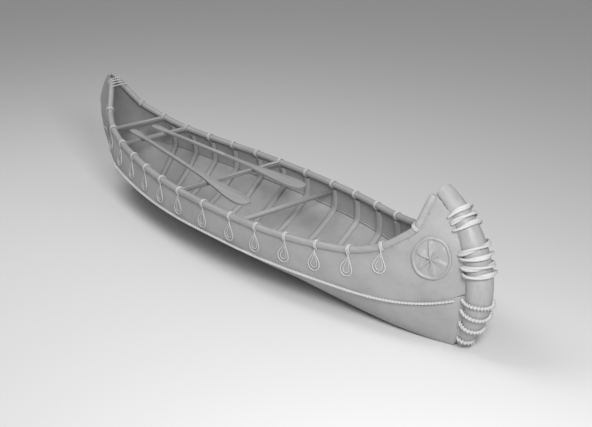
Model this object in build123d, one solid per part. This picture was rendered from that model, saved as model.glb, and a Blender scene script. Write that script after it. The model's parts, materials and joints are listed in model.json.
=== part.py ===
from build123d import *
from math import asin, atan2, cos, degrees, radians, sin, sqrt, tan
import os

# A bark canoe: a bark hull on bent ribs, gunwale poles lashed along its rails, thwarts,
# a stout stem post wrapped with rope at the bow, a slim stem strip under the bound tips
# of the poles at the stern, and two paddles laid on the thwarts.
# Millimetres. X runs to the bow, Y to port and Z up. The origin is on the floor, under
# the middle of the flat bottom.

# Rails
half_span = 1600            # middle of the boat to the last gunwale lashing
gunwale_height = 424        # middle of the gunwale pole above the floor, amidships
bow_rise = 255              # how far the pole climbs to the last lashing at the bow
stern_rise = 190
gunwale_radius = 22
bow_tip_setback = 6         # the pole's end lies this far inboard of the stem's top
bow_tip_drop = 4
stern_tip_setback = 62
stern_tip_drop = 20
tip_rounding = 15

# Stems, each bent to one arc: a stout post at the bow and a slim strip at the stern
stem_arc_radius = 576
stern_arc_radius = 636
stem_arc_x = 1363           # centre of the arc, from the middle of the boat
stem_arc_height = 376
bow_top_angle = 61          # the bow post stands taller than the stern strip
stern_top_angle = 46
stem_foot_angle = -36
stern_foot_angle = -34
stem_radius_top = 54
stem_radius_belly = 76
stem_radius_foot = 36
stern_strip_radius = 14

# Bark and ribs
bark_wall = 7
rib_width = 42
rib_thickness = 13
rib_head_gap = 12           # bare bark between a rib's head and the pole
half_breadth = 456          # widest half breadth, amidships
floor_half_width = 160      # half width of the flat bottom amidships
rail_half_breadth = 404     # half breadth amidships at the bark's top, before it is cut
bilge_height = 296          # height of the widest place, amidships
bark_top = 552              # height of the uncut bark amidships
bark_end_top = 930          # the same at the stems
keel_trim = 1               # worn off the bottom where the boat rests on the ground
fine_breadth = 40           # where the hull is finer than this, the wall thins with it
seam_height = 242           # seam of side and bottom bark above the floor, amidships
seam_dip = 38               # the seam sinks this much towards the bow, and then climbs
seam_bow_climb = 168
seam_stern_climb = 160

# Thwarts
thwart_radius = 17
low_thwart_drop = 50        # the fourth thwart hangs this far under the gunwale poles

# Ropes
lashing_thickness = 6.5     # a lashing is a flat band of rope turns
lashing_width = 16
lashing_flat_share = 0.42   # how much of the band's face and of its edge is flat
lashing_arc = 300           # each ring is open where the bark meets the pole
binding_radius = 6          # rope that binds the poles' tips together at the stern
binding_turns = 4
binding_pitch = 13
binding_end_angle = 40      # how far under a pole's middle a turn ends
seam_rope_radius = 9
seam_rope_bow_share = 0.8   # of the arc's radius, where the rope ends
seam_rope_stern_share = 0.93
wrap_radius = 17
wrap_least_arc = 150
wrap_most_arc = 260
wrap_step = 5
loop_rope = 12              # width of the rope of a hanging loop
loop_thickness = 9
loop_bulb_radius = 39
loop_drop = 74              # apex of the loop to the middle of its bulb
loop_below_rail = 116       # gunwale pole to the middle of the bulb

# Roundels on both sides of both ends
roundel_half_width = 113
roundel_half_height = 124
roundel_rim = 14
roundel_thickness = 11
roundel_x = 1705
bow_roundel_drop = 139      # from the last lashing's height to the middle of the roundel
stern_roundel_drop = 117
star_reach = 98
star_waist = 26
star_thickness = 15
star_arms = 6

# Paddles
paddle_length = 1556
blade_length = 760
blade_width = 150
grip_length = 250
grip_width = 92
paddle_thickness = 14
shaft_radius = 15

seat_gap = 0.3              # between a paddle and what it lies on
overrun = 50                # how far a cutting body passes what it cuts

# Lashing stations along the rail: share of the half span, share of the end's rise
station_shares = [
    (-1.000, 1.000), (-0.890, 0.560), (-0.756, 0.310), (-0.613, 0.190), (-0.471, 0.115),
    (-0.323, 0.065), (-0.174, 0.025), (0.000, 0.000), (0.174, -0.008), (0.323, -0.010),
    (0.471, 0.000), (0.613, 0.040), (0.756, 0.150), (0.890, 0.440), (1.000, 1.000),
]

# Where the ribs stand, as lashing stations counted from the stern
rib_stations = [2.35, 3.25, 4.1, 5.05, 6.1, 7.1, 8.0, 9.04, 10.06, 11.08, 12.0, 12.8, 13.65]

# Hull sections from the middle to past the stem: place along the stems' reach, flat
# bottom, widest half breadth and its height, half breadth and height of the top
section_shares = [
    (0.0000, 1.0000, 1.0000, 1.0000, 1.0000, 0.0000),
    (0.1857, 0.9750, 0.9781, 0.9865, 0.9629, 0.0212),
    (0.3713, 0.9000, 0.8947, 0.9628, 0.8292, 0.0847),
    (0.6601, 0.7000, 0.6579, 1.0135, 0.4134, 0.4233),
    (0.8252, 0.4375, 0.4386, 1.3514, 0.1000, 1.0000),
    (0.9232, 0.1500, 0.2193, 1.4527, 0.0400, 1.0000),
    (1.0315, 0.0625, 0.0877, 1.5203, 0.0297, 1.0000),
]

# The stern is finer: these rows stand for the last three there
stern_section_shares = [
    (0.8252, 0.3500, 0.3800, 1.3514, 0.0600, 1.0000),
    (0.9232, 0.1250, 0.1550, 1.4527, 0.0250, 1.0000),
    (1.0420, 0.0400, 0.0300, 1.5203, 0.0200, 1.0000),
]

# Rope wraps on the bow post: angle on the stem's arc
upper_wrap_angles = [51, 46, 41, 30, 25, 20, 15.5]
lower_wrap_angles = [0.5, -7, -15, -24]

# Paddles: side, the tip's place along half the rail, and the grip's end and the tip
# across the widest half breadth
paddle_shares = [("starboard", 0.119, -0.228, -0.531), ("port", 0.125, 0.147, 0.526)]


def station_x(number):
    low = min(int(number), len(station_shares) - 1)
    x_low = station_shares[low - 1][0]
    x_high = station_shares[low][0]
    return half_span * (x_low + (x_high - x_low) * (number - low))


def rise_at(share):
    return gunwale_height + share * bow_rise, gunwale_height + share * stern_rise


def station_height(index):
    x_share, rise_share = station_shares[index]
    high, low = rise_at(rise_share)
    return high if x_share > 0 else low


def rail_height(x):
    # Height of the rail between two stations
    for index in range(len(station_shares) - 1):
        x_low = station_shares[index][0] * half_span
        x_high = station_shares[index + 1][0] * half_span
        if x_low <= x <= x_high:
            part = (x - x_low) / (x_high - x_low)
            return station_height(index) * (1 - part) + station_height(index + 1) * part


def seam_z(x):
    part = x / (stem_arc_x + stem_arc_radius)
    if part < 0:
        return seam_height + seam_stern_climb * abs(part) ** 2.5
    return seam_height - seam_dip * part + seam_bow_climb * part ** 8


def arc_radius(end):
    return stem_arc_radius if end > 0 else stern_arc_radius


def stem_point(angle, end):
    x = stem_arc_x + arc_radius(end) * cos(radians(angle))
    return end * x, stem_arc_height + arc_radius(end) * sin(radians(angle))


def stem_radius(angle):
    # The bow post is thickest at the belly, thinner to the top and to the foot
    if angle > 0:
        return stem_radius_belly + (stem_radius_top - stem_radius_belly) * (angle / bow_top_angle) ** 2
    return stem_radius_belly + (stem_radius_foot - stem_radius_belly) * (angle / stem_foot_angle) ** 2


def stem_plane(angle, end):
    x, z = stem_point(angle, end)
    upward = (-end * sin(radians(angle)), 0, cos(radians(angle)))
    return Plane(origin=(x, 0, z), x_dir=(0, 1, 0), z_dir=upward)


# Bark skin
def hoop_points(row, inset):
    x, flat, breadth, height, top, top_height = row
    y_max = breadth - inset * min(1, breadth / fine_breadth)
    y_top = top - inset * min(1, top / fine_breadth)
    return min(flat, y_max * 0.8), y_max, inset - keel_trim, height, y_top, top_height


def hoop_face(row, outside, inside):
    # One thin hoop of the hull from rail to rail, between two insets
    plane = Plane(origin=(row[0], 0, 0), x_dir=(0, 1, 0), z_dir=(1, 0, 0))
    with BuildSketch(plane) as sketch:
        with BuildLine():
            ends = []
            for inset in (outside, inside):
                y_flat, y_max, floor, height, y_top, z_top = hoop_points(row, inset)
                width = y_max - y_flat
                bilge = height - floor
                Line((-y_flat, floor), (y_flat, floor))
                EllipticalCenterArc((y_flat, height), width, bilge, start_angle=-90, arc_size=90)
                EllipticalCenterArc((-y_flat, height), width, bilge, start_angle=180, arc_size=90)
                TangentArc((y_max, height), (y_top, z_top), tangent=(0, 1))
                TangentArc((-y_max, height), (-y_top, z_top), tangent=(0, 1))
                ends.append((y_top, z_top))
            for side in (1, -1):
                Line((side * ends[0][0], ends[0][1]), (side * ends[1][0], ends[1][1]))
        make_face()
    return sketch.sketch.faces()[0]


def section_row(shares):
    along, flat, breadth, height, top, climb = shares
    x = along * (stem_arc_x + stem_arc_radius)
    top_height = bark_top + climb * (bark_end_top - bark_top)
    top_breadth = top * rail_half_breadth
    return x, flat * floor_half_width, breadth * half_breadth, height * bilge_height, top_breadth, top_height


bow_sections = [section_row(shares) for shares in section_shares]
stern_count = len(stern_section_shares)
stern_sections = bow_sections[1:-stern_count] + [section_row(shares) for shares in stern_section_shares]


def hull_strip(outside, inside):
    rows = [(-row[0], *row[1:]) for row in reversed(stern_sections)] + bow_sections
    return loft([hoop_face(row, outside, inside) for row in rows])


full_skin = hull_strip(0, bark_wall)
rib_lining = hull_strip(bark_wall + seat_gap, bark_wall + seat_gap + rib_thickness)


skin_shell = full_skin.shell()
lining_shell = rib_lining.shell()


def half_breadths(shell, x, z):
    # Inner and outer half breadth of a shell of the hull at one place
    crossings = shell.find_intersection_points(Axis((x, 0, z), (0, 1, 0)))
    reach = [abs(point.Y) for point, normal in crossings]
    return min(reach, default=0), max(reach, default=0)


def skin_at(x, z):
    return half_breadths(skin_shell, x, z)


def outer_point(x, z):
    return Vector(x, skin_at(x, z)[1], z)


def skin_plane(x, z, reach):
    # Plane that touches the bark outside, its X along the hull and its Y up
    along = outer_point(x + reach, z) - outer_point(x - reach, z)
    upward = outer_point(x, z + reach) - outer_point(x, z - reach)
    normal = upward.cross(along)
    return Plane(origin=outer_point(x, z), x_dir=-along, z_dir=normal)


# Rails
def end_rail_points(end, top_angle, setback, drop):
    # Half way up to the tip, and the tip beside the stem's top
    top_x, top_z = stem_point(top_angle, end)
    tip_x = top_x - end * setback
    tip_z = top_z - drop
    last_x = end * half_span
    last_z = station_height(len(station_shares) - 1 if end > 0 else 0)
    return [((last_x + tip_x) / 2, (last_z + tip_z) / 2), (tip_x, tip_z)]


stations = [(share * half_span, station_height(index)) for index, (share, rise) in enumerate(station_shares)]
bow_rail = end_rail_points(1, bow_top_angle, bow_tip_setback, bow_tip_drop)
stern_rail = end_rail_points(-1, stern_top_angle, stern_tip_setback, stern_tip_drop)
rail_line = stern_rail[::-1] + stations + bow_rail
rail_path = [Vector(x, sum(skin_at(x, z)) / 2, z) for x, z in rail_line]


def bent_line(points):
    # Straight runs joined by tangent arcs, each as large as its runs allow
    radii = []
    for before, here, after in zip(points, points[1:], points[2:]):
        turn = radians((here - before).get_angle(after - here))
        shorter = min((here - before).length, (after - here).length)
        radii.append(0.45 * shorter / tan(turn / 2))
    with BuildLine() as line:
        FilletPolyline(*points, radius=radii)
    return line.wire()


def rope_along(path, radius):
    start = Plane(origin=path @ 0, z_dir=path % 0)
    return sweep(start * Circle(radius), path=path)


def mirrored(shape):
    return mirror(shape, about=Plane.XZ)


def gunwale_pole(line):
    # A round pole with rounded tips
    straight = rope_along(line, gunwale_radius)
    tips = [face for face in straight.faces() if face.geom_type == GeomType.PLANE]
    edges = [edge for face in tips for edge in face.edges()]
    return fillet(edges, tip_rounding)


rail_wire = bent_line(rail_path)
pole = gunwale_pole(rail_wire)


def bow_post():
    angles = [bow_top_angle, bow_top_angle / 2, 0, stem_foot_angle / 2, stem_foot_angle]
    return loft([stem_plane(angle, 1) * Circle(stem_radius(angle)) for angle in angles])


def stern_strip():
    middle = (stern_top_angle + stern_foot_angle) / 2
    arc = ThreePointArc(*[
        Vector(x, 0, z) for x, z in (stem_point(angle, -1) for angle in (stern_top_angle, middle, stern_foot_angle))
    ])
    return rope_along(arc, stern_strip_radius)


stems = {"bow": bow_post(), "stern": stern_strip()}
both_stems = stems["bow"] + stems["stern"]


def side_view():
    # The hull seen from the side: keel, stem arcs and the line of the rails
    keel = {end: -degrees(asin(stem_arc_height / arc_radius(end))) for end in (1, -1)}
    with BuildSketch(Plane.XZ) as view:
        with BuildLine():
            Line(stem_point(keel[-1], -1), stem_point(keel[1], 1))
            ThreePointArc(stem_point(keel[1], 1), stem_point(0, 1), stem_point(bow_top_angle, 1))
            Polyline(stem_point(stern_top_angle, -1), *rail_line, stem_point(bow_top_angle, 1))
            ThreePointArc(stem_point(keel[-1], -1), stem_point(0, -1), stem_point(stern_top_angle, -1))
        make_face()
    return extrude(view.sketch, half_span, both=True)


def below_seam():
    # All that lies under the seam, whose line is straight runs joined by tangent arcs
    reach = stem_arc_x + stern_arc_radius + overrun
    half_count = len(stations) // 2
    xs = [reach * step / half_count for step in range(-half_count, half_count + 1)]
    seam_line = bent_line([Vector(x, 0, seam_z(x)) for x in xs])
    floor_line = Polyline(seam_line @ 1, (reach, 0, -overrun), (-reach, 0, -overrun), seam_line @ 0)
    return extrude(make_face(seam_line.edges() + floor_line.edges()), half_span, both=True)


skin = full_skin & side_view()
bottom = (skin & below_seam()) - both_stems
sides = skin - below_seam() - both_stems - pole - mirrored(pole)
side_solids = sorted(sides.solids(), key=lambda solid: -solid.volume)[:2]
side_solids.sort(key=lambda solid: solid.center().Y)
side_bark = {"starboard": side_solids[0], "port": side_solids[1]}
poles = {"port": pole - both_stems, "starboard": mirrored(pole) - both_stems}

# Ribs: bands of the lining, cut off under the poles
ribs = []
for number in rib_stations:
    x = station_x(number)
    head = rail_height(x) - gunwale_radius - rib_head_gap
    slab = Pos(x, 0, head / 2) * Box(rib_width, 3 * half_breadth, head)
    ribs.append(rib_lining & slab)


# Lashings, seam ropes and hanging loops of one side
def hoop(place, ring_radius, profile, arc):
    # A profile turned through part of a ring in the place's XY plane, open about its -X
    start = Plane(origin=(ring_radius, 0, 0), x_dir=(1, 0, 0), z_dir=(0, 1, 0))
    turned = revolve(start * profile, axis=Axis.Z, revolution_arc=arc)
    return place * Rot(0, 0, -arc / 2) * turned


def band_section():
    # A flat band with bevelled edges
    deep, wide = lashing_thickness / 2, lashing_width / 2
    face, edge = wide * lashing_flat_share, deep * lashing_flat_share
    quarter = [(deep, face), (edge, wide)]
    half = quarter + [(-across, along) for across, along in reversed(quarter)]
    corners = half + [(-across, -along) for across, along in half]
    return Polygon(*corners, align=None)


def lashing_rings():
    # Each ring is open at the bark, which meets the pole from below
    reach = gunwale_radius + lashing_thickness / 2 + 2 * seat_gap
    band = band_section()
    rings = []
    for x, z in stations:
        centre = Vertex(x, sum(skin_at(x, z)) / 2, z)
        where = rail_wire.param_at_point(rail_wire.closest_points(centre)[0])
        run = rail_wire % where
        here = rail_wire @ where
        bark = Vector(x, sum(skin_at(x, z - reach)) / 2, z - reach)
        away = (here - bark) - run * (here - bark).dot(run)
        place = Plane(origin=here, x_dir=away, z_dir=run)
        rings.append(hoop(place, reach, band, lashing_arc))
    return Compound(children=rings)


def seam_rope():
    # The rope lies on the bark outside, along the seam. Each straight run clears the bulge
    # of the bark between its ends
    bow_end = stem_arc_x + stem_arc_radius * seam_rope_bow_share
    stern_end = -stem_arc_x - stern_arc_radius * seam_rope_stern_share
    count = 4 * len(stations)
    xs = [stern_end + (bow_end - stern_end) * step / count for step in range(count + 1)]
    on_bark = [outer_point(x, seam_z(x)) for x in xs]
    bulge = [0] * (count + 1)
    for index in range(1, count):
        middle = (on_bark[index - 1] + on_bark[index + 1]) / 2
        bulge[index] = (on_bark[index] - middle).length
    path = []
    for index in range(0, count + 1, 2):
        before, after = max(index - 1, 0), min(index + 1, count)
        outward = Vector(0, 0, 1).cross(on_bark[after] - on_bark[before]).normalized()
        offset = seam_rope_radius + 2 * seat_gap + max(bulge[before], bulge[after])
        path.append(on_bark[index] + outward * offset)
    return rope_along(bent_line(path), seam_rope_radius)


def loop_ring():
    # A drop-shaped ring of flat rope, its apex up, in the XY plane
    with BuildSketch() as ring:
        for radius in (loop_bulb_radius, loop_bulb_radius - loop_rope):
            apex = loop_drop * radius / loop_bulb_radius
            lean = radians(90) - atan2(radius, sqrt(apex ** 2 - radius ** 2))
            side_x = radius * sin(lean)
            side_y = radius * cos(lean)
            with BuildLine():
                ThreePointArc((-side_x, side_y), (0, -radius), (side_x, side_y))
                Line((side_x, side_y), (0, apex))
                Line((0, apex), (-side_x, side_y))
            make_face(mode=Mode.ADD if radius == loop_bulb_radius else Mode.SUBTRACT)
    return extrude(ring.sketch, loop_thickness)


def hanging_loops():
    ring = loop_ring()
    loops = []
    for x, z in stations[1:-1]:
        plane = skin_plane(x, z - loop_below_rail, loop_bulb_radius)
        loops.append(plane.offset(seat_gap) * ring)
    return Compound(children=loops)


# Thwarts: three lie between the poles, and the fourth between the heads of a rib
def thwart_bar(x, z, shell):
    # A round bar whose ends stop just short of the shell's inside
    steps = (-thwart_radius, 0, thwart_radius)
    spots = [(x + along, z + up) for along in steps for up in steps]
    reach = min(half_breadths(shell, *spot)[0] for spot in spots) - seat_gap
    return Pos(x, 0, z) * Rot(90, 0, 0) * Cylinder(thwart_radius, 2 * reach)


def thwart(index):
    bar = thwart_bar(*stations[index], skin_shell)
    for other in (pole, mirrored(pole), lashings, mirrored(lashings)):
        bar = bar - other
    return max(bar.solids(), key=lambda solid: solid.volume)


def low_thwart(index):
    x, z = stations[index]
    return thwart_bar(x, z - low_thwart_drop, lining_shell)


thwart_stations = [1, 2, 6, 8]
lashings = lashing_rings()
thwarts = [thwart(index) for index in thwart_stations[:-1]] + [low_thwart(thwart_stations[-1])]
seam = seam_rope()
loops = hanging_loops()


# Wraps round the bow post, and the binding at the stern
def post_reach(place, post):
    # Greatest distance from the post's middle to its surface at one level
    reach = 0
    for step in range(wrap_most_arc // (2 * wrap_step)):
        angle = radians(step * wrap_step)
        ray = Axis(place.origin, place.x_dir * cos(angle) + place.y_dir * sin(angle))
        crossings = post.find_intersection_points(ray)
        reach = max([reach] + [(point - place.origin).length for point, normal in crossings])
    return reach


def wrap_hoop(place, ring_radius):
    # A wrap goes round the outside of its post and ends where the rope meets the bark
    half_arc = wrap_least_arc / 2
    while half_arc + wrap_step < wrap_most_arc / 2:
        angle = radians(half_arc + wrap_step)
        point = place.origin + (place.x_dir * cos(angle) + place.y_dir * sin(angle)) * ring_radius
        if abs(point.Y) < skin_at(point.X, point.Z)[1] + wrap_radius + seat_gap:
            break
        half_arc += wrap_step
    return hoop(place, ring_radius, Circle(wrap_radius), 2 * half_arc)


def bow_wraps():
    post = stems["bow"].shell()
    rings = []
    for angle in upper_wrap_angles + lower_wrap_angles:
        level = stem_plane(angle, 1)
        outboard = Vector(cos(radians(angle)), 0, sin(radians(angle)))
        place = Plane(origin=level.origin, x_dir=outboard, z_dir=level.z_dir)
        rings.append(wrap_hoop(place, post_reach(place, post) + wrap_radius + 2 * seat_gap))
    return Compound(children=rings)


def stern_binding():
    # Turns of rope over both poles' tips, each ended at the bark outside
    low = radians(binding_end_angle)
    turns = []
    for turn in range(1, binding_turns + 1):
        distance = tip_rounding + turn * binding_pitch
        here = rail_wire @ (distance / rail_wire.length)
        run = rail_wire % (distance / rail_wire.length)
        slant = sqrt(run.X ** 2 + run.Z ** 2)
        ring_radius = (gunwale_radius + binding_radius) / slant + seat_gap
        place = Plane(origin=(here.X, 0, here.Z), x_dir=(0, 1, 0), z_dir=(-run.X, 0, -run.Z))
        upward = 1 if place.y_dir.Z > 0 else -1
        reach = here.Y + ring_radius * cos(low)
        drop = -upward * ring_radius * sin(low)
        top = upward * ring_radius
        with BuildLine(place) as line:
            ThreePointArc((reach, drop), (here.Y + ring_radius, 0), (here.Y, top))
            Line((here.Y, top), (-here.Y, top))
            ThreePointArc((-here.Y, top), (-here.Y - ring_radius, 0), (-reach, drop))
        turns.append(rope_along(line.wire(), binding_radius))
    return Compound(children=turns)


wrap_sets = {"bow": bow_wraps(), "stern": stern_binding()}


# Roundels
def roundel(end):
    height = stations[-1][1] - bow_roundel_drop if end > 0 else stations[0][1] - stern_roundel_drop
    plane = skin_plane(end * roundel_x, height, roundel_half_width / 2)
    with BuildSketch() as star:
        points = []
        for step in range(2 * star_arms):
            reach = star_reach if step % 2 == 0 else star_waist
            angle = radians(90 + step * 180 / star_arms)
            points.append((reach * cos(angle), reach * sin(angle)))
        Polygon(*points, align=None)
    outline = Pos(0, 0, -overrun) * Ellipse(roundel_half_width, roundel_half_height)
    disc = extrude(outline, overrun + roundel_thickness)
    field = Ellipse(roundel_half_width - roundel_rim, roundel_half_height - roundel_rim)
    hollow = extrude(Pos(0, 0, roundel_thickness - roundel_rim / 4) * field, roundel_rim)
    face = disc - hollow + extrude(star.sketch, star_thickness, taper=20)
    pieces = (plane * face) - skin
    return max(pieces.solids(), key=lambda solid: solid.center().Y)


roundels = Compound(children=[roundel(1), roundel(-1)])


# Paddles
def paddle(side, tip_share, grip_share, end_share):
    tip_x = tip_share * half_span
    grip_y = grip_share * half_breadth
    tip_y = end_share * half_breadth
    half = paddle_length / 2
    neck = -half + grip_length
    root = half - blade_length
    with BuildSketch() as leaf:
        with BuildLine():
            for mirror_y in (1, -1):
                wide = mirror_y * grip_width / 2
                slim = mirror_y * shaft_radius
                broad = mirror_y * blade_width / 2
                third = blade_length / 3
                shoulder = -half + grip_length / 3
                Spline((-half, 0), (shoulder, wide), (neck, slim), tangents=((0, mirror_y), (1, 0)))
                Line((neck, slim), (root, slim))
                Spline((root, slim), (root + 2 * third, broad), (half, 0), tangents=((1, 0), (0, -mirror_y)))
        make_face()
    flat = extrude(leaf.sketch, paddle_thickness / 2, both=True)
    shaft = Pos((neck + root) / 2, 0, 0) * Rot(0, 90, 0) * Cylinder(shaft_radius, root - neck)
    whole = flat + shaft
    rear_x, rear_z = stations[thwart_stations[1]]
    front_x, front_z = stations[thwart_stations[2]]
    length = paddle_length
    yaw = atan2(tip_y - grip_y, sqrt(length ** 2 - (tip_y - grip_y) ** 2))
    pitch = atan2(front_z - rear_z, (front_x - rear_x))
    across = (seat_gap + thwart_radius + paddle_thickness / 2) / cos(pitch)
    mid_x = tip_x - half * cos(yaw)
    mid_z = rear_z + across + (mid_x - rear_x) * tan(pitch)
    place = Plane(
        origin=(mid_x, (grip_y + tip_y) / 2, mid_z),
        x_dir=(cos(yaw) * cos(pitch), sin(yaw) * cos(pitch), cos(yaw) * sin(pitch)),
        z_dir=(-sin(pitch), 0, cos(pitch)),
    )
    return place * whole


paddles = {row[0]: paddle(*row) for row in paddle_shares}

nodes = {"hull_bottom": bottom}
for side in ("port", "starboard"):
    flip = (lambda shape: shape) if side == "port" else mirrored
    nodes["hull_side_" + side] = side_bark[side]
    nodes["gunwale_" + side] = poles[side]
    nodes["gunwale_lashings_" + side] = flip(lashings)
    nodes["hanging_loops_" + side] = flip(loops)
    nodes["seam_rope_" + side] = flip(seam)
    nodes["roundels_" + side] = flip(roundels)
    nodes["paddle_" + side] = paddles[side]
for name in ("bow", "stern"):
    nodes["stem_" + name] = stems[name]
    nodes["stem_wraps_" + name] = wrap_sets[name]
for number, rib in enumerate(ribs, 1):
    nodes["rib_%02d" % number] = rib
for number, bar in enumerate(thwarts, 1):
    nodes["thwart_%d" % number] = bar

os.makedirs("parts", exist_ok=True)
for name, shape in nodes.items():
    export_step(shape, "parts/" + name + ".step")
    print(name, len(shape.solids()), shape.is_valid, shape.bounding_box())
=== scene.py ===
import json
import math

import bmesh
import bpy
from mathutils import Matrix, Vector
from mathutils.bvhtree import BVHTree

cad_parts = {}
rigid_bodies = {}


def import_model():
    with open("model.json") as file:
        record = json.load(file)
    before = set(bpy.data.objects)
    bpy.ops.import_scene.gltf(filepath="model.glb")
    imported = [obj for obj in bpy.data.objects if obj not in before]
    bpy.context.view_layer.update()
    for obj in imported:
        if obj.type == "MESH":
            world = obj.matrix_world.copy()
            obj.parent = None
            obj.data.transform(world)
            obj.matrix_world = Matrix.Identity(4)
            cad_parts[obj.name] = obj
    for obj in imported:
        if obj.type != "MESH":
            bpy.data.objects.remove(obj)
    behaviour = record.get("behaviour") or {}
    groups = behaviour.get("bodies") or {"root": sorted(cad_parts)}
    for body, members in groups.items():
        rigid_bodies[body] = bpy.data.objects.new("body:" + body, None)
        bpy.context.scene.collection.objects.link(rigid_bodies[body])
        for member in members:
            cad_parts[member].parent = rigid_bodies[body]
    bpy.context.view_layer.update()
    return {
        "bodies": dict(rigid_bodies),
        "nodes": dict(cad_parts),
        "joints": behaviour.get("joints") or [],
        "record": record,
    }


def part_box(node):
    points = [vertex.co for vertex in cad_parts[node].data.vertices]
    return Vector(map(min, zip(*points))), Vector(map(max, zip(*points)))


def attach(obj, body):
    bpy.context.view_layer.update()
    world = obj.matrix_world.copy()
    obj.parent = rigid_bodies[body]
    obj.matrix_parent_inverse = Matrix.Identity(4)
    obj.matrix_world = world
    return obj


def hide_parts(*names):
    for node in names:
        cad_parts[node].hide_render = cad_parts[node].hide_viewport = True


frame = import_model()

nodes = frame["nodes"]
SIDES = {"port": 1, "starboard": -1}
ENDS = {"bow": 1, "stern": -1}

# Places on the canoe, in metres, as the boat is built
HALF_SPAN = 1.6
RAIL_HEIGHT = 0.424
BOW_RISE, STERN_RISE = 0.255, 0.190
POLE_RADIUS = 0.022
STATIONS = [
    (-1.000, 1.000), (-0.890, 0.560), (-0.756, 0.310), (-0.613, 0.190), (-0.471, 0.115),
    (-0.323, 0.065), (-0.174, 0.025), (0.000, 0.000), (0.174, -0.008), (0.323, -0.010),
    (0.471, 0.000), (0.613, 0.040), (0.756, 0.150), (0.890, 0.440), (1.000, 1.000),
]
STEM_ARC, STEM_X, STEM_Z = 0.576, 1.363, 0.376


# Camera, at the photograph's angle

PICTURE_WIDTH, SENSOR_WIDTH = 592, 36


def make_camera(azimuth, elevation, roll, distance, across, upward, focal):
    a, e, r = (math.radians(v) for v in (azimuth, elevation, roll))
    back = Vector((math.sin(a) * math.cos(e), -math.cos(a) * math.cos(e), math.sin(e)))
    right = Vector((math.cos(a), math.sin(a), 0))
    up = back.cross(right)
    place = back * distance + right * across + up * upward + Vector((0, 0, RAIL_HEIGHT))
    turned_right = right * math.cos(r) + up * math.sin(r)
    turned_up = up * math.cos(r) - right * math.sin(r)
    bpy.ops.object.camera_add()
    cam = bpy.context.object
    turn = Matrix((turned_right, turned_up, back)).transposed().to_4x4()
    cam.matrix_world = Matrix.Translation(place) @ turn
    cam.data.sensor_width = SENSOR_WIDTH
    cam.data.lens = focal / PICTURE_WIDTH * SENSOR_WIDTH
    cam.data.clip_end = 60
    bpy.context.scene.camera = cam


make_camera(azimuth=49.67, elevation=22.31, roll=-0.18, distance=7.355,
            across=0.258, upward=-0.173, focal=1103.6)


# Materials

def new_finish(name, colour, roughness):
    mat = bpy.data.materials.new(name)
    mat.use_nodes = True
    tree = mat.node_tree
    shader = tree.nodes["Principled BSDF"]
    shader.inputs["Roughness"].default_value = roughness
    shader.inputs["Base Color"].default_value = (*colour, 1)
    return mat, tree, shader


def link(tree, a, b):
    tree.links.new(a, b)


def object_pattern(tree, scale=(1, 1, 1)):
    coords = tree.nodes.new("ShaderNodeTexCoord")
    mapping = tree.nodes.new("ShaderNodeMapping")
    mapping.inputs["Scale"].default_value = scale
    link(tree, coords.outputs["Object"], mapping.inputs["Vector"])
    return mapping.outputs["Vector"]


def noise(tree, vector, scale, detail=4, rough=0.6):
    node = tree.nodes.new("ShaderNodeTexNoise")
    node.inputs["Scale"].default_value = scale
    node.inputs["Detail"].default_value = detail
    node.inputs["Roughness"].default_value = rough
    link(tree, vector, node.inputs["Vector"])
    return node.outputs["Fac"]


def ramp(tree, value, stops):
    node = tree.nodes.new("ShaderNodeValToRGB")
    while len(node.color_ramp.elements) < len(stops):
        node.color_ramp.elements.new(0.5)
    for element, (place, colour) in zip(node.color_ramp.elements, stops):
        element.position = place
        element.color = (*colour, 1)
    link(tree, value, node.inputs["Fac"])
    return node.outputs["Color"]


def darkened(tree, first, second, share):
    node = tree.nodes.new("ShaderNodeMix")
    node.data_type = "RGBA"
    node.blend_type = "MULTIPLY"
    node.inputs["Factor"].default_value = share
    link(tree, first, node.inputs["A"])
    link(tree, second, node.inputs["B"])
    return node.outputs["Result"]


def bump(tree, shader, height, strength, distance):
    node = tree.nodes.new("ShaderNodeBump")
    node.inputs["Strength"].default_value = strength
    node.inputs["Distance"].default_value = distance
    link(tree, height, node.inputs["Height"])
    previous = shader.inputs["Normal"].links
    if previous:
        link(tree, previous[0].from_socket, node.inputs["Normal"])
    link(tree, node.outputs["Normal"], shader.inputs["Normal"])


def grey(level):
    return (level, level, level)


def bark_finish():
    mat, tree, shader = new_finish("weathered_bark", grey(0.36), 0.62)
    cloud = noise(tree, object_pattern(tree, (1, 1.6, 1.6)), 3.2, 6, 0.62)
    base = ramp(tree, cloud, [(0.28, grey(0.31)), (0.52, grey(0.37)), (0.78, grey(0.42))])
    streak = noise(tree, object_pattern(tree, (3, 26, 60)), 5.5, 3, 0.5)
    marks = ramp(tree, streak, [(0.30, grey(0.75)), (0.40, grey(1.0)), (1.0, grey(1.0))])
    link(tree, darkened(tree, base, marks, 0.55), shader.inputs["Base Color"])
    bump(tree, shader, streak, 0.18, 0.0015)
    bump(tree, shader, noise(tree, object_pattern(tree), 9, 5, 0.55), 0.22, 0.004)
    return mat


def wood_finish(name, level, along, roughness=0.5):
    mat, tree, shader = new_finish(name, grey(level), roughness)
    grain = noise(tree, object_pattern(tree, along), 38, 5, 0.65)
    tones = [(0.3, grey(level * 0.86)), (0.55, grey(level)), (0.8, grey(level * 1.1))]
    base = ramp(tree, grain, tones)
    cloud = noise(tree, object_pattern(tree), 5, 3)
    patches = ramp(tree, cloud, [(0.3, grey(0.93)), (0.7, grey(1.0))])
    link(tree, darkened(tree, base, patches, 0.8), shader.inputs["Base Color"])
    bump(tree, shader, grain, 0.2, 0.001)
    return mat


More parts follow.
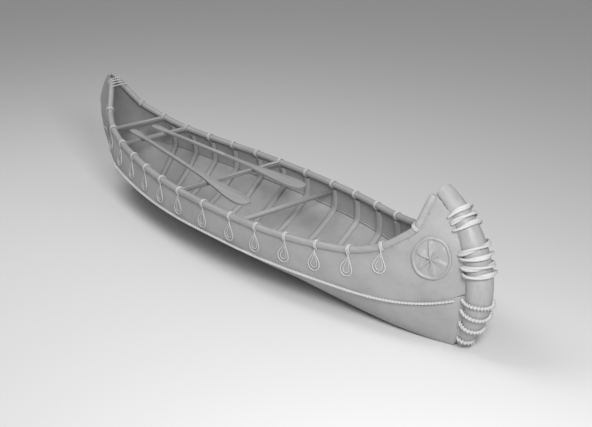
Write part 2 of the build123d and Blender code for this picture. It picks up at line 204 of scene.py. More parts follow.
def rope_finish():
    mat, tree, shader = new_finish("twisted_rope", grey(0.45), 0.72)
    fibre = noise(tree, object_pattern(tree), 210, 3, 0.7)
    base = ramp(tree, fibre, [(0.25, grey(0.48)), (0.55, grey(0.60)), (0.85, grey(0.68))])
    cloud = noise(tree, object_pattern(tree), 12, 2)
    wear = ramp(tree, cloud, [(0.3, grey(0.9)), (0.7, grey(1.0))])
    link(tree, darkened(tree, base, wear, 0.8), shader.inputs["Base Color"])
    bump(tree, shader, fibre, 0.35, 0.0012)
    return mat


bark = bark_finish()
pole_wood = wood_finish("pole_wood", 0.37, (0.12, 1, 1))
post_wood = wood_finish("post_wood", 0.39, (0.5, 1, 0.25))
rib_wood = wood_finish("rib_wood", 0.38, (1.2, 0.12, 0.3))
bar_wood = wood_finish("bar_wood", 0.38, (1, 0.1, 1))
paddle_wood = wood_finish("paddle_wood", 0.36, (0.1, 0.9, 1), 0.45)
rope = rope_finish()


def paint(obj, mat):
    obj.data.materials.clear()
    obj.data.materials.append(mat)


# Helpers for pieces

def only(obj):
    bpy.ops.object.select_all(action="DESELECT")
    obj.select_set(True)
    bpy.context.view_layer.objects.active = obj


def apply_all(obj):
    only(obj)
    for modifier in list(obj.modifiers):
        bpy.ops.object.modifier_apply(modifier=modifier.name)


def mended(obj, merge=0.0, outward=True):
    """The same mesh, its points closer than merge joined and its faces turned outwards."""
    only(obj)
    bpy.ops.object.mode_set(mode="EDIT")
    bpy.ops.mesh.select_all(action="SELECT")
    if merge:
        bpy.ops.mesh.remove_doubles(threshold=merge)
    if outward:
        bpy.ops.mesh.normals_make_consistent(inside=False)
    bpy.ops.object.mode_set(mode="OBJECT")


def joined(parts, name):
    bpy.ops.object.select_all(action="DESELECT")
    for part in parts:
        part.select_set(True)
    bpy.context.view_layer.objects.active = parts[0]
    if len(parts) > 1:
        bpy.ops.object.join()
    parts[0].name = name
    return parts[0]


def finished(obj, name, mat, stands_for, body="hull"):
    obj.name = name
    paint(obj, mat)
    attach(obj, body)
    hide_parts(*stands_for)
    return obj


BEVEL_SEGMENTS, BEVEL_ANGLE, JOIN_WITHIN = 3, 50, 0.00002


def dressed_copy(node, name, mat, rounding=0.0, body="hull", smooth=30):
    """A copy of a built piece, its triangles joined, its edges rounded and smoothly shaded."""
    obj = nodes[node].copy()
    obj.data = nodes[node].data.copy()
    obj.parent = None
    obj.matrix_world = Matrix.Identity(4)
    for key in list(obj.keys()):
        del obj[key]
    bpy.context.scene.collection.objects.link(obj)
    mended(obj, JOIN_WITHIN, outward=False)
    if rounding:
        edge = obj.modifiers.new("rounded", "BEVEL")
        edge.width = rounding
        edge.segments = BEVEL_SEGMENTS
        edge.limit_method = "ANGLE"
        edge.angle_limit = math.radians(BEVEL_ANGLE)
        edge.use_clamp_overlap = True
        apply_all(obj)
    bpy.ops.object.shade_smooth_by_angle(angle=math.radians(smooth))
    return finished(obj, name, mat, [node], body)


def tree_of(*pieces):
    made = bmesh.new()
    for piece in pieces:
        made.from_mesh(piece.data)
    tree = BVHTree.FromBMesh(made)
    made.free()
    return tree


HULL = ("hull_bottom", "hull_side_port", "hull_side_starboard")
skin_tree = tree_of(*(nodes[name] for name in HULL))
pole_trees = {side: tree_of(nodes["gunwale_" + side]) for side in SIDES}


def bark_at(x, z, side):
    """The outside of the bark at one place, and the way that it faces."""
    spot, normal = skin_tree.ray_cast(Vector((x, side * 2, z)), Vector((0, -side, 0)))[:2]
    if spot is None:
        return None, None
    if normal.y * side < 0:
        normal = -normal
    return spot, normal


INWARD_TRIES = (1, 0.998, 0.995, 0.99, 0.98)
NARROW_END = 0.004


def half_width(x, z):
    """Half the hull's width at one place, or a narrow one past its ends."""
    for share in INWARD_TRIES:
        spot = bark_at(x * share, z, 1)[0]
        if spot is not None:
            return spot.y
    return NARROW_END


def smooth_line(points, count):
    """A line of that many spans between each two points, bent smoothly through them."""
    ends = [points[0] * 2 - points[1]] + list(points) + [points[-1] * 2 - points[-2]]
    result = []
    for a, b, c, d in zip(ends, ends[1:], ends[2:], ends[3:]):
        for number in range(count):
            t = number / count
            result.append((b * 2 + (c - a) * t + (a * 2 - b * 5 + c * 4 - d) * t * t
                           + (b * 3 - a - c * 3 + d) * t ** 3) / 2)
    return result + [points[-1]]


# Bark: the bottom meets the sides at a bend under the seam rope, and the stern is cut away

SEAM_HEIGHT, SEAM_DIP, SEAM_BOW_CLIMB, SEAM_STERN_CLIMB = 0.242, 0.038, 0.168, 0.160
BARK = 0.0065
FLAT_HALF_WIDTH, FLAT_END, LEAST_FLAT_SHARE, MOST_FLAT_SHARE = 0.070, 1.95, 0.1, 0.6
BEND_POWER = 1.45
ABOVE_SEAM, ABOVE_FLOOR = 0.001, 0.0015
BOTTOM_REACH = 0.998
TUCK_IN, TUCK_UP = 0.004, 0.016
FULL_FROM, FULL_OVER = 0.700, 1.000
STERN_EDGE, STERN_ARC = 0.650, 0.636
CUT_FROM = 1.300
CUT_REACH = [
    (1.500, 0.000), (1.610, 0.061), (1.718, 0.114), (1.822, 0.185), (1.878, 0.255),
    (1.925, 0.343), (1.944, 0.406), (1.962, 0.489), (1.973, 0.600),
]
NARROW_FROM, NARROW_OVER, TIP_HALF_GAP, TIP_X = 1.450, 0.300, 0.0235, -1.735
DRAWN_IN_ABOVE, DRAWN_IN_OVER, MOST_DRAWN_SHARE = 0.5, 0.25, 0.5
stern_edge = smooth_line([Vector(place) for place in CUT_REACH], 12)


def seam_height(x):
    part = x / (STEM_X + STEM_ARC)
    if part < 0:
        return SEAM_HEIGHT + SEAM_STERN_CLIMB * abs(part) ** 2.5
    return SEAM_HEIGHT - SEAM_DIP * part + SEAM_BOW_CLIMB * part ** 8


def arc_reach(z, radius):
    return STEM_X + math.sqrt(radius ** 2 - (z - STEM_Z) ** 2)


def stern_reach(z):
    """How far aft the stern's edge lies at one height."""
    if z >= CUT_REACH[-1][1]:
        return arc_reach(z, STERN_EDGE)
    for low, high in zip(stern_edge, stern_edge[1:]):
        if z <= high.y:
            part = max(0, z - low.y) / (high.y - low.y)
            return low.x + (high.x - low.x) * part
    return stern_edge[-1].x


SCAN_FROM, SCAN_STEP, SCANS = 0.005, 0.003, 60


def pole_crossing(x, side):
    """Middle of the pole as built at x, found from above."""
    tree = pole_trees[side]
    best = None
    for step in range(SCANS):
        y = SIDES[side] * (SCAN_FROM + SCAN_STEP * step)
        top = tree.ray_cast(Vector((x, y, 2)), Vector((0, 0, -1)))[0]
        if top is not None and (best is None or top.z > best.z):
            best = top
    under = tree.ray_cast(Vector((x, best.y, 0)), Vector((0, 0, 1)))[0]
    return Vector((x, best.y, (best.z + under.z) / 2))


tip_gap = pole_crossing(TIP_X, "port").y - TIP_HALF_GAP


def tip_shift(x):
    """How far a pole is drawn in towards the other near the stern tips."""
    return tip_gap * min(1, max(0, (-NARROW_FROM - x) / NARROW_OVER)) ** 2


def cut_away(place):
    """A place on the plain hull, moved to the cut-away and drawn-in stern."""
    x, y, z = place
    if x < -CUT_FROM and z < CUT_REACH[-1][1]:
        share = (stern_reach(z) - CUT_FROM) / (arc_reach(z, STERN_EDGE) - CUT_FROM)
        x = -CUT_FROM + (x + CUT_FROM) * share
    if x < -NARROW_FROM and z > DRAWN_IN_ABOVE:
        shift = tip_shift(x) * min(1, (z - DRAWN_IN_ABOVE) / DRAWN_IN_OVER)
        shift = min(shift, abs(y) * MOST_DRAWN_SHARE)
        y -= math.copysign(shift, y)
    return Vector((x, y, z))


def bottom_place(along, share):
    """A place on the bottom's outside, from stern to bow and from the middle out to the seam."""
    z = 0.0
    for step in range(12):
        x = along * arc_reach(z, STEM_ARC if along > 0 else STERN_ARC)
        z = seam_height(x) * min(1, max(0, share))
    seam = half_width(x, seam_height(x) + ABOVE_SEAM)
    if share > 1:
        return Vector((x, seam - TUCK_IN, seam_height(x) + TUCK_UP))
    flat = FLAT_HALF_WIDTH * max(LEAST_FLAT_SHARE, 1 - (x / FLAT_END) ** 2)
    flat = min(flat, seam * MOST_FLAT_SHARE)
    full = min(half_width(x, max(z, ABOVE_FLOOR)), seam)
    bent = flat + (seam - flat) * max(0, share) ** (1 / BEND_POWER)
    blend = min(1, max(0, (x - FULL_FROM) / FULL_OVER))
    y = (bent * (1 - blend) + full * blend) * (1 + min(0, share))
    return Vector((x, y, z))


def bark_bottom():
    """The bottom, from its middle line out to the bend and up to a strip behind the sides."""
    columns, rows = 150, 23
    flat_shares, tucked_share = [-1, -0.5], 1.1
    bent_shares = [number / (rows - 3) for number in range(rows - 2)]
    shares = flat_shares + bent_shares + [tucked_share]
    bpy.ops.mesh.primitive_grid_add(x_subdivisions=columns, y_subdivisions=2 * rows, size=2)
    obj = bpy.context.object
    found = {}
    for vertex in obj.data.vertices:
        column = round((vertex.co.x + 1) / 2 * columns)
        row = round((vertex.co.y + 1) * rows) - rows
        key = (column, abs(row))
        if key not in found:
            along = (2 * column / columns - 1) * BOTTOM_REACH
            found[key] = cut_away(bottom_place(along, shares[abs(row)]))
        x, y, z = found[key]
        vertex.co = (x, y if row > 0 else -y, z)
    mended(obj)
    if sum(face.normal.z for face in obj.data.polygons) > 0:
        obj.data.flip_normals()
    wall = obj.modifiers.new("wall", "SOLIDIFY")
    wall.thickness = BARK
    wall.offset = -1
    apply_all(obj)
    bpy.ops.object.shade_smooth_by_angle(angle=math.radians(40))
    return finished(obj, "bark_bottom", bark, ["hull_bottom"])


def moved_copy(node, name, mat):
    """A copy of a built piece that follows the cut-away stern."""
    obj = dressed_copy(node, name, mat)
    for vertex in obj.data.vertices:
        vertex.co = cut_away(vertex.co)
    even = obj.modifiers.new("even", "WEIGHTED_NORMAL")
    even.keep_sharp = True
    apply_all(obj)
    return obj


bottom = bark_bottom()
sides = [moved_copy("hull_side_" + side, "bark_side_" + side, bark) for side in SIDES]
skin_tree = tree_of(bottom, *sides)


# Rope, made from a lobed outline that turns steadily along a line

def rope_outline(name, strands, floor, sides):
    """The outline of a rope of that many round strands, of radius 1, as a flat closed curve."""
    bpy.ops.curve.primitive_nurbs_circle_add(radius=1)
    outline = bpy.context.object
    outline.name = name
    outline.data.splines.clear()
    outline.data.dimensions = "2D"
    spline = outline.data.splines.new("POLY")
    spline.points.add(sides - 1)
    strand = math.sin(math.pi / strands) / (1 + math.sin(math.pi / strands))
    for number, point in enumerate(spline.points):
        angle = math.tau * number / sides
        aside = (angle + math.pi / strands) % (math.tau / strands) - math.pi / strands
        inner = (1 - strand) * math.sin(aside)
        reach = floor
        if abs(inner) < strand:
            outer = (1 - strand) * math.cos(aside) + math.sqrt(strand ** 2 - inner ** 2)
            reach = max(floor, outer)
        point.co = (reach * math.cos(angle), reach * math.sin(angle), 0, 1)
    spline.use_cyclic_u = True
    return outline


two_strands = rope_outline("two_strand_outline", 2, 0.34, 16)
cord_strands = rope_outline("cord_outline", 3, 0.6, 12)
OUTLINES = [two_strands, cord_strands]


def spaced(points, step):
    """The same line, its points that step apart."""
    line = [Vector(p) for p in points]
    lengths = [0.0]
    for a, b in zip(line, line[1:]):
        lengths.append(lengths[-1] + (b - a).length)
    count = max(4, round(lengths[-1] / step))
    result = []
    index = 0
    for number in range(count + 1):
        place = lengths[-1] * number / count
        while index < len(line) - 2 and lengths[index + 1] < place:
            index += 1
        span = lengths[index + 1] - lengths[index]
        part = (place - lengths[index]) / span if span else 0
        result.append(line[index].lerp(line[index + 1], part))
    return result


ROUND_END = (30, 55, 75)


def lay_rope(points, outline, radius, pitch, step, start=0.0, neck=0.0):
    """A rope of that radius along the points, one turn of its strands to each pitch.

    A rope with a neck is that much thinner twice in each turn, between its knots.
    """
    line = spaced(points, step)
    places = [(p, 1.0) for p in line]
    first = (line[0] - line[1]).normalized() * radius
    last = (line[-1] - line[-2]).normalized() * radius
    for degrees in ROUND_END:
        along, size = math.sin(math.radians(degrees)), math.cos(math.radians(degrees))
        places.insert(0, (line[0] + first * along, size))
        places.append((line[-1] + last * along, size))
    data = bpy.data.curves.new("rope_line", "CURVE")
    data.dimensions = "3D"
    data.twist_mode = "MINIMUM"
    data.bevel_mode = "OBJECT"
    data.bevel_object = outline
    data.use_fill_caps = True
    spline = data.splines.new("POLY")
    spline.points.add(len(places) - 1)
    turns = len(line) * step / pitch
    for number, (point, (place, size)) in enumerate(zip(spline.points, places)):
        point.co = (*place, 1)
        swell = abs(math.sin(math.tau * number * step / pitch))
        point.radius = radius * size * (1 - neck * (1 - swell))
        point.tilt = start + math.tau * turns * number / len(places)
    obj = bpy.data.objects.new("rope_line", data)
    bpy.context.scene.collection.objects.link(obj)
    only(obj)
    bpy.ops.object.convert(target="MESH")
    return bpy.context.object


def rope_piece(parts, name, mat, stands_for):
    """Lengths of rope joined to one piece, faces outwards and smoothly shaded."""
    piece = joined(parts, name)
    mended(piece)
    bpy.ops.object.shade_smooth()
    return finished(piece, name, mat, stands_for)


def arc_points(centre, first, second, radius, start, end, count):
    """Points on an arc about centre, from first towards second, angles in degrees."""
    result = []
    for number in range(count + 1):
        angle = math.radians(start + (end - start) * number / count)
        result.append(centre + (first * math.cos(angle) + second * math.sin(angle)) * radius)
    return result


# Rails: where a pole's middle runs

RAIL_PLACES = [
    (along * HALF_SPAN, RAIL_HEIGHT + rise * (BOW_RISE if along > 0 else STERN_RISE))
    for along, rise in STATIONS
]
NEAR, BELOW_POLE = 0.02, 0.05


def rail_height(x):
    for (x_low, z_low), (x_high, z_high) in zip(RAIL_PLACES, RAIL_PLACES[1:]):
        if x_low <= x <= x_high:
            return z_low + (z_high - z_low) * (x - x_low) / (x_high - x_low)
    return RAIL_PLACES[0][1] if x < 0 else RAIL_PLACES[-1][1]


def pole_at(x, side):
    tree = pole_trees[side]
    across = SIDES[side]
    z = rail_height(x)
    outer = tree.ray_cast(Vector((x, across * 2, z)), Vector((0, -across, 0)))[0]
    inner = tree.ray_cast(Vector((x, 0, z)), Vector((0, across, 0)))[0]
    y = (outer.y + inner.y) / 2
    top = tree.ray_cast(Vector((x, y, 2)), Vector((0, 0, -1)))[0]
    under = tree.ray_cast(Vector((x, y, 0)), Vector((0, 0, 1)))[0]
    return Vector((x, y - across * tip_shift(x), (top.z + under.z) / 2))


def station_place(index, side):
    """A lashing's middle, the pole's run there and the way down along the bark."""
    x = STATIONS[index][0] * HALF_SPAN
    here = pole_at(x, side)
    ahead = pole_at(x + NEAR, side) if index < len(STATIONS) - 1 else here
    behind = pole_at(x - NEAR, side) if index > 0 else here
    run = (ahead - behind).normalized()
    below = bark_at(x, here.z - BELOW_POLE, SIDES[side])[0]
    down = below - here
    down = (down - run * down.dot(run)).normalized()
    return here, run, down


LASH_CORD = 0.0042
LASH_TURNS = 3
LASH_GAP, LASH_LIFT, LASH_OPEN = 1.8, 0.95, 24
CORD_PITCH, CORD_STEP = 0.030, 0.0055


def lashing(index, side):
    """Turns of cord side by side round the pole, each open where the bark meets it."""
    here, run, down = station_place(index, side)
    out = run.cross(down).normalized()
    parts = []
    for turn in range(LASH_TURNS):
        shift = run * LASH_CORD * LASH_GAP * (turn - (LASH_TURNS - 1) / 2)
        ring = POLE_RADIUS + LASH_CORD * LASH_LIFT
        points = arc_points(here + shift, down, out, ring, LASH_OPEN, 360 - LASH_OPEN, 26)
        parts.append(lay_rope(points, cord_strands, LASH_CORD, CORD_PITCH, CORD_STEP, start=turn))
    return parts


LOOP_CORD = 0.0052
LOOP_BELOW = 0.116
LOOP_BULB = 0.040
LOOP_DROP = 0.076
LOOP_PITCH, LOOP_STEP = 0.034, 0.0058
LOOP_LEAN, LOOP_LEAN_RATE = 0.09, 2.4
THIN_SHARE = 0.72
INNER_SIZE, INNER_DROP = 0.56, 0.8
TAIL_SWAY, TAIL_SPREAD, TAIL_RISE = 0.35, 0.018, 0.018


def drop_outline(bulb, apex, count=22):
    """A drop's outline, its round end about the origin and its apex above."""
    lean = math.asin(bulb / apex)
    points = [Vector((0, apex))]
    for number in range(count + 1):
        angle = math.pi - lean + (math.pi + 2 * lean) * number / count
        points.append(Vector((bulb * math.cos(angle), bulb * math.sin(angle))))
    points.append(Vector((0, apex)))
    return points


def on_bark(points, x, z, side, lift, lean=0.0):
    """Flat points, X along the hull and Y up, laid on the bark about x, z."""
    result = []
    for point in points:
        u = point.x * math.cos(lean) - point.y * math.sin(lean)
        v = point.x * math.sin(lean) + point.y * math.cos(lean)
        spot, normal = bark_at(x + u, z + v, side)
        if spot is not None:
            result.append(spot + normal * lift)
    return result


def hanging_loop(index, side):
    """A drop of cord with a smaller one in it, and the two tails that tie it to the pole."""
    across = SIDES[side]
    here, run, down = station_place(index, side)
    z = here.z - LOOP_BELOW
    lean = LOOP_LEAN * math.sin(LOOP_LEAN_RATE * index)
    thin = LOOP_CORD * THIN_SHARE
    parts = []
    drops = ((1, 1, 0.9, LOOP_CORD), (INNER_SIZE, INNER_DROP, 0.8, thin))
    for size, drop, lift, radius in drops:
        outline = drop_outline(LOOP_BULB * size, LOOP_DROP * drop)
        line = on_bark(outline, here.x, z, across, radius * lift, lean)
        parts.append(lay_rope(line, cord_strands, radius, LOOP_PITCH, LOOP_STEP))
    apex = on_bark([Vector((0, LOOP_DROP))], here.x, z, across, LOOP_CORD, lean)[0]
    out = run.cross(down).normalized() * (1 if run.cross(down).y * across > 0 else -1)
    beside = (out * 0.9 + down * 0.55).normalized() * (POLE_RADIUS + LASH_CORD)
    for sway in (-TAIL_SWAY, TAIL_SWAY):
        top = here + beside + run * LASH_CORD * 6 * sway
        knot = Vector((sway * TAIL_SPREAD, LOOP_DROP + TAIL_RISE))
        middle = on_bark([knot], here.x, z, across, LOOP_CORD * 1.2)
        tail = smooth_line([top] + middle + [apex], 8)
        parts.append(lay_rope(tail, cord_strands, thin, CORD_PITCH, CORD_STEP))
    return parts


for side in SIDES:
    turns = [part for index in range(len(STATIONS)) for part in lashing(index, side)]
    rope_piece(turns, "pole_lashings_" + side, rope, ["gunwale_lashings_" + side])
    drops = [part for index in range(1, len(STATIONS) - 1) for part in hanging_loop(index, side)]
    rope_piece(drops, "rope_drops_" + side, rope, ["hanging_loops_" + side])


# Seam ropes

SEAM_RADIUS = 0.0125
SEAM_PITCH = 0.040
SEAM_STEP = 0.0032
SEAM_NECK = 0.42
SEAM_LIFT = 0.75
SEAM_STERN_END, SEAM_SHORT_BY, BELOW_SEAM = -1.915, 0.012, 0.002
SEAM_SPANS = 120

for side, across in SIDES.items():
    low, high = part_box("seam_rope_" + side)
    start = max(low[0] + SEAM_SHORT_BY, SEAM_STERN_END)
    places = []
    for number in range(SEAM_SPANS + 1):
        x = start + (high[0] - SEAM_SHORT_BY - start) * number / SEAM_SPANS
        spot, normal = bark_at(x, seam_height(x) - BELOW_SEAM, across)
        outward = Vector((normal.x, normal.y, 0)).normalized()
        places.append(Vector((spot.x, spot.y, seam_height(x))) + outward * SEAM_RADIUS * SEAM_LIFT)
    line = lay_rope(places, two_strands, SEAM_RADIUS, SEAM_PITCH, SEAM_STEP, neck=SEAM_NECK)
    rope_piece([line], "seam_twist_" + side, rope, ["seam_rope_" + side])


# Bow post and its wraps

POST_TOP, POST_BELLY, POST_FOOT = 0.054, 0.076, 0.036
TOP_DEGREES, FOOT_DEGREES = 61, -36
WRAPS = [
    (46.0, 0.0150, 1.0), (41.8, 0.0155, -1.5), (37.4, 0.0150, -4.0), (25.6, 0.0155, 7.0),
    (20.6, 0.0150, -1.0), (15.6, 0.0155, -3.0), (11.2, 0.0155, -1.5),
    (-5.5, 0.0130, -1.0), (-12.5, 0.0135, 1.0), (-21.0, 0.0135, -1.0), (-31.0, 0.0130, 1.5),
]
FIRST_LOW_WRAP = 7
LOW_PITCH, LOW_STEP, LOW_NECK = 0.036, 0.0036, 0.2
TOP_PITCH, TOP_STEP = 0.36, 0.006
WRAP_LIFT, WRAP_MEETS = 0.8, 0.7
LEAST_HALF_TURN, MOST_HALF_TURN, HALF_TURN_STEP = 75, 130, 2
WRAP_SWAY, SWAY_TURNS, SWAY_SHIFT, WRAP_SPANS = 0.0025, 1.5, 1.7, 60
TOP_START = 1.3


def post_point(degrees_up):
    angle = math.radians(degrees_up)
    return Vector((STEM_X + STEM_ARC * math.cos(angle), 0, STEM_Z + STEM_ARC * math.sin(angle)))


def post_radius(degrees_up):
    if degrees_up > 0:
        return POST_BELLY + (POST_TOP - POST_BELLY) * (degrees_up / TOP_DEGREES) ** 2
    return POST_BELLY + (POST_FOOT - POST_BELLY) * (degrees_up / FOOT_DEGREES) ** 2


def post_wrap(number):
    """One rope wrap, round the outside of the post from bark to bark."""
    level, radius, tilt = WRAPS[number]
    angle = math.radians(level)
    outboard = Vector((math.cos(angle), 0, math.sin(angle)))
    up = Vector((-math.sin(angle), 0, math.cos(angle)))
    turn = Matrix.Rotation(math.radians(tilt), 3, "X")
    port = turn @ Vector((0, 1, 0))
    ring = post_radius(level) + radius * WRAP_LIFT

    def round_post(part):
        spread = outboard * math.cos(math.radians(part)) + port * math.sin(math.radians(part))
        return post_point(level) + spread * ring

    half = LEAST_HALF_TURN
    while half < MOST_HALF_TURN:
        spot = round_post(half)
        bark_spot = bark_at(spot.x, spot.z, 1)[0]
        if bark_spot is not None and abs(spot.y) < bark_spot.y + radius * WRAP_MEETS:
            break
        half += HALF_TURN_STEP
    points = []
    for step in range(WRAP_SPANS + 1):
        share = step / WRAP_SPANS
        sway = WRAP_SWAY * math.sin(share * math.tau * SWAY_TURNS + number * SWAY_SHIFT)
        points.append(round_post(-half + 2 * half * share) + up * sway)
    if number >= FIRST_LOW_WRAP:
        return lay_rope(points, two_strands, radius, LOW_PITCH, LOW_STEP, number, LOW_NECK)
    return lay_rope(points, two_strands, radius, TOP_PITCH, TOP_STEP, number * TOP_START)


wraps = [post_wrap(number) for number in range(len(WRAPS))]
rope_piece(wraps, "post_wraps", rope, ["stem_wraps_bow"])
dressed_copy("stem_bow", "bow_post", post_wood, 0.006)
moved_copy("stem_stern", "stern_strip", post_wood)


# Stern: rope over both poles' tips

BINDING_TURNS = 4
BINDING_CORD = 0.0058
FIRST_TURN, TURN_GAP = 0.020, 0.0125
BINDING_ROUND, BINDING_LOW, BINDING_STEP = 1.06, -35, 0.0045


def tip_places():
    """Where the turns cross the poles near the stern tips, from the tips inwards."""
    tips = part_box("gunwale_port")[0][0]
    return [tips + FIRST_TURN + TURN_GAP * number for number in range(BINDING_TURNS)]


def binding():
    """Turns of rope over both tips, each open below."""
    parts = []
    for number, x in enumerate(tip_places()):
        port, ahead = pole_crossing(x, "port"), pole_crossing(x + NEAR, "port")
        run = ahead - port
        run.y = 0
        run.normalize()
        across = Vector((0, 1, 0))
        up = run.cross(across)
        if up.z < 0:
            up = -up
        ring = POLE_RADIUS * BINDING_ROUND + BINDING_CORD
        left = Vector((port.x, port.y - tip_shift(x), port.z))
        right = Vector((port.x, -left.y, port.z))
        points = arc_points(left, across, up, ring, BINDING_LOW, 90, 14)
        points += arc_points(right, -across, up, ring, 90, BINDING_LOW, 14)
        parts.append(lay_rope(points, two_strands, BINDING_CORD, CORD_PITCH, BINDING_STEP, number))
    return parts


rope_piece(binding(), "tip_binding", rope, ["stem_wraps_stern"])


# Roundels

ROUNDEL_X = 1.705
ROUNDEL_DROP = {"bow": 0.139, "stern": 0.117}
ROUNDEL_HALF_WIDTH, ROUNDEL_HALF_HEIGHT = 0.113, 0.124
ROUNDEL_THICKNESS = 0.011
RIM_WIDTH, RIM_RISE, FIELD_DROP = 0.014, 0.004, 0.0035
ARMS, FIRST_ARM, ARM_TWIST = 6, math.radians(50), 0.25
STEEP_SIDE, GENTLE_SIDE, RIDGE, ARM_END = 0.008, 0.034, 0.012, 0.84
HUB_SHARE, HUB_RISE = 0.2, 0.003
RINGS, EDGE_RINGS, SPOKES = 26, 3, 96
WORN_SHARE, EDGE_BULGE, EDGE_FALL = 0.012, 0.012, 0.006


def roundel_height(reach, angle, width):
    """Height of the roundel's face over the bark, at a share of its radius."""
    rim = (1 - reach) * width
    if rim < RIM_WIDTH:
        return ROUNDEL_THICKNESS + RIM_RISE * math.sin(math.pi * rim / RIM_WIDTH)
    field = ROUNDEL_THICKNESS - FIELD_DROP
    turn = (angle - FIRST_ARM + ARM_TWIST * (reach - 0.5)) % (math.tau / ARMS)
    if turn > math.pi / ARMS:
        turn -= math.tau / ARMS
    aside = reach * width * math.sin(turn)
    slope = STEEP_SIDE if aside > 0 else GENTLE_SIDE
    ridge = max(0, 1 - abs(aside) / slope)
    fade = min(1, max(0, (ARM_END - reach) / 0.1))
    hub = max(0, 1 - reach / HUB_SHARE)
    return field + RIDGE * ridge * fade * (1 - 0.25 * reach) + HUB_RISE * hub


def roundel(end, side):
    """A rimmed disc with a star of ridges, pressed to the curve of the bark."""
    across = SIDES[side]
    along = ENDS[end]
    x = along * ROUNDEL_X
    z = RAIL_HEIGHT + (BOW_RISE if along > 0 else STERN_RISE) - ROUNDEL_DROP[end]
    half = ROUNDEL_HALF_WIDTH / 2
    run = (bark_at(x + half, z, across)[0] - bark_at(x - half, z, across)[0]).normalized()
    rise = (bark_at(x, z + half, across)[0] - bark_at(x, z - half, across)[0]).normalized()
    out = run.cross(rise)
    if out.y * across < 0:
        out = -out
    rings = RINGS + EDGE_RINGS
    bpy.ops.mesh.primitive_grid_add(x_subdivisions=SPOKES, y_subdivisions=rings, size=2)
    obj = bpy.context.object
    for vertex in obj.data.vertices:
        number = round((vertex.co.x + 1) / 2 * SPOKES) % SPOKES
        ring = round((vertex.co.y + 1) / 2 * rings)
        angle = math.tau * number / SPOKES
        shape = 1 + WORN_SHARE * math.cos(6 * angle + 0.6)
        if ring <= RINGS:
            reach = ring / RINGS
            height = roundel_height(reach, angle, ROUNDEL_HALF_WIDTH)
        else:
            reach = 1 + EDGE_BULGE * (2 - abs(ring - RINGS - EDGE_RINGS / 2) * 2)
            height = ROUNDEL_THICKNESS - EDGE_FALL * (ring - RINGS)
        u = reach * shape * ROUNDEL_HALF_WIDTH * math.cos(angle)
        v = reach * shape * ROUNDEL_HALF_HEIGHT * math.sin(angle)
        place = Vector((x, 0, z)) + run * u + rise * v
        spot = bark_at(place.x, place.z, across)[0]
        vertex.co = spot + out * height
    mended(obj, 0.0001)
    bpy.ops.object.shade_smooth_by_angle(angle=math.radians(35))
    return obj


for side in SIDES:
    discs = joined([roundel(end, side) for end in ENDS], "roundels_worn_" + side)
    finished(discs, "star_roundels_" + side, rib_wood, ["roundels_" + side])


# Ribs, thwarts, poles and paddles

RIB_HALF_WIDTH, RIB_THICKNESS, RIB_CLEARANCE = 0.0235, 0.0190, 0.0006
RIB_STEP, RIB_EASINGS, RIB_RAYS, RIB_SIDES, RIB_POWER = 0.014, 3, 180, 10, 0.7
BELOW_HEADS, ABOVE_HEADS = 0.002, 0.3
SHAFT_HALF, BLADE_FROM, BLADE_SHARE, GRIP_SHARE = 0.0155, 0.4, 0.58, 0.40


def swept(frames, outline):
    """A bar of that outline through the frames, closed at its ends."""
    count = len(outline)
    rows = [(frames[0], 0)] + [(frame, 1) for frame in frames] + [(frames[-1], 0)]
    bpy.ops.mesh.primitive_grid_add(x_subdivisions=len(rows) - 1, y_subdivisions=count, size=2)
    obj = bpy.context.object
    for vertex in obj.data.vertices:
        row = round((vertex.co.x + 1) / 2 * (len(rows) - 1))
        a, b = outline[round((vertex.co.y + 1) / 2 * count) % count]
        (middle, first, second), size = rows[row]
        vertex.co = middle + (first * a + second * b) * size
    mended(obj, 0.00005)
    bpy.ops.object.shade_smooth_by_angle(angle=math.radians(45))
    return obj


def bent_rib(name):
    """A half-round rib laid along the inside of the bark, from head to head."""
    low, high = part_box(name)
    x, top = (low[0] + high[0]) / 2, high[2]
    centre = Vector((x, 0, top - BELOW_HEADS))
    above = centre + Vector((0, 0, ABOVE_HEADS))
    inside = []
    for number in range(RIB_RAYS + 1):
        angle = math.pi * (number / RIB_RAYS - 0.5)
        spot = skin_tree.ray_cast(centre, Vector((0, math.sin(angle), -math.cos(angle))))[0]
        if spot is not None:
            inside.append(spot)
    line = spaced(inside, RIB_STEP)
    for easing in range(RIB_EASINGS):
        eased = [(a + b * 2 + c) / 4 for a, b, c in zip(line, line[1:], line[2:])]
        line = [line[0]] + eased + [line[-1]]
    along = Vector((1, 0, 0))
    frames = []
    for number, spot in enumerate(line):
        run = line[min(number + 1, len(line) - 1)] - line[max(number - 1, 0)]
        inward = along.cross(run).normalized()
        if inward.dot(above - spot) < 0:
            inward = -inward
        frames.append((spot + inward * RIB_CLEARANCE, along, inward))
    outline = []
    for part in range(RIB_SIDES + 1):
        angle = math.pi * part / RIB_SIDES
        rounded = math.sin(angle) ** RIB_POWER
        outline.append((math.cos(angle) * RIB_HALF_WIDTH, rounded * RIB_THICKNESS))
    return finished(swept(frames, outline), "bent_" + name, rib_wood, [name])


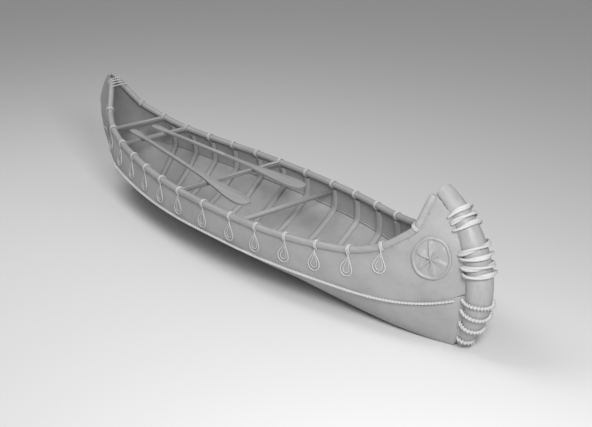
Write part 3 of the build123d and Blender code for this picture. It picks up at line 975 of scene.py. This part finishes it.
def carved_paddle(side):
    """The paddle, its blade and grip as slim as carved ones."""
    obj = dressed_copy("paddle_" + side, "carved_paddle_" + side, paddle_wood,
                       0.004, side + "_paddle", 40)
    places = [vertex.co.copy() for vertex in obj.data.vertices]
    grip = min(places, key=lambda place: place.x)
    tip = max(places, key=lambda place: place.x)
    run = tip - grip
    across = Vector((0, 0, 1)).cross(run).normalized()
    for vertex in obj.data.vertices:
        part = (vertex.co - grip).dot(run) / run.length_squared
        aside = (vertex.co - grip).dot(across)
        if abs(aside) > SHAFT_HALF:
            share = BLADE_SHARE if part > BLADE_FROM else GRIP_SHARE
            kept = SHAFT_HALF + (abs(aside) - SHAFT_HALF) * share
            vertex.co += across * (math.copysign(kept, aside) - aside)
    return obj


for name in [name for name in nodes if name.startswith("rib_")]:
    bent_rib(name)
for name in [name for name in nodes if name.startswith("thwart_")]:
    dressed_copy(name, "round_" + name, bar_wood)
for side in SIDES:
    pole = dressed_copy("gunwale_" + side, "rail_pole_" + side, pole_wood)
    for vertex in pole.data.vertices:
        vertex.co.y -= SIDES[side] * tip_shift(vertex.co.x)
    carved_paddle(side)
for outline in OUTLINES:
    bpy.data.objects.remove(outline, do_unlink=True)


# Stage and light

FLOOR_SIZE = 60
SKY_STRENGTH = 0.30
LAMPS = [((4.6, -2.2, 3.4), 1.4, 215), ((-1.5, -1.5, 5.0), 2.5, 110)]
LIT_PLACE = Vector((0, 0, 0.4))


def make_stage():
    bpy.ops.mesh.primitive_plane_add(size=FLOOR_SIZE)
    floor = bpy.context.object
    floor.name = "floor"
    paint(floor, new_finish("pale_floor", grey(0.72), 0.9)[0])
    world = bpy.context.scene.world or bpy.data.worlds.new("studio")
    bpy.context.scene.world = world
    world.use_nodes = True
    sky = world.node_tree.nodes["Background"]
    sky.inputs["Color"].default_value = (1, 1, 1, 1)
    sky.inputs["Strength"].default_value = SKY_STRENGTH
    for place, size, power in LAMPS:
        bpy.ops.object.light_add(type="AREA", location=place)
        lamp = bpy.context.object
        lamp.data.size = size
        lamp.data.energy = power
        lamp.rotation_mode = "QUATERNION"
        lamp.rotation_quaternion = (LIT_PLACE - Vector(place)).to_track_quat("-Z", "Y")
    bpy.context.scene.view_settings.view_transform = "Standard"


make_stage()
